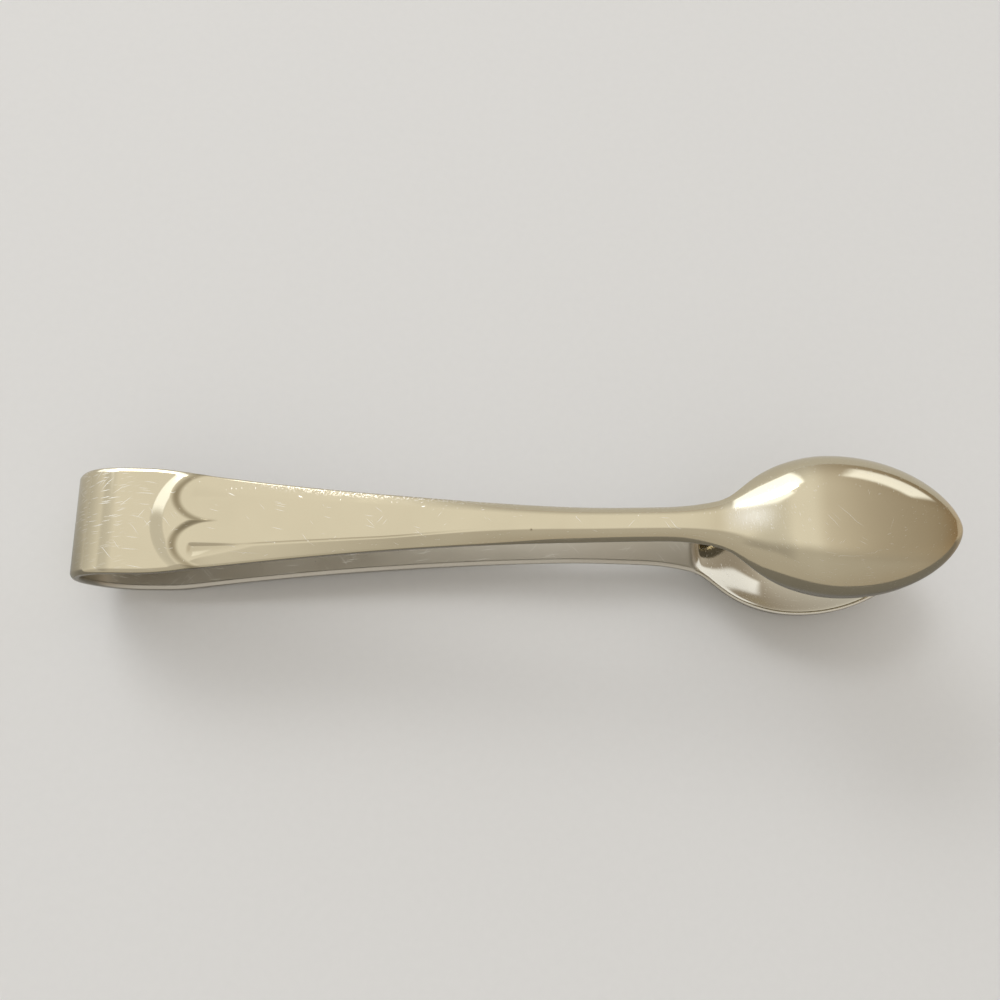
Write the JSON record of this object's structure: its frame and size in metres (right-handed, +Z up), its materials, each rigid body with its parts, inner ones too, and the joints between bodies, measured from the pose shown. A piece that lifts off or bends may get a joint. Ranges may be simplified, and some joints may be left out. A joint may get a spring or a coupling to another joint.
{
  "type": "sugar tongs",
  "caption": "Sprung U-shaped sugar tongs in plated metal, with a stamped collar at each shoulder, tapering arms and pointed bowls.",
  "frame": {"origin": "on the table under the middle of the tongs, which lie on the lower arm", "axes": "+X from the bow to the tips of the bowls, +Y across the strip, +Z up from the table"},
  "size_m": [0.1102, 0.0174, 0.0267],
  "materials": {
    "silver_plate": "polished silver plate, warm with age, with fine scratches and specks of tarnish"
  },
  "bodies": {
    "bow": {"bow_spring": "silver_plate"},
    "upper_limb": {"upper_arm": "silver_plate", "upper_bowl": "silver_plate"},
    "lower_limb": {"lower_arm": "silver_plate", "lower_bowl": "silver_plate"}
  },
  "joints": [
    {"name": "upper_flex", "type": "hinge", "parent": "bow", "child": "upper_limb", "pos_m": [-0.04849, 0, 0.01293], "axis": [0, 1, 0], "range_deg": [0, 3.9], "stiffness_Nm_per_rad": 9.6},
    {"name": "lower_flex", "type": "hinge", "parent": "bow", "child": "lower_limb", "pos_m": [-0.04761, 0, 0.00117], "axis": [0, -1, 0], "range_deg": [0, 3.9], "stiffness_Nm_per_rad": 9.6}
  ],
  "couplings": [
    {"joint": "lower_flex", "follows": "upper_flex", "ratio": 1}
  ]
}
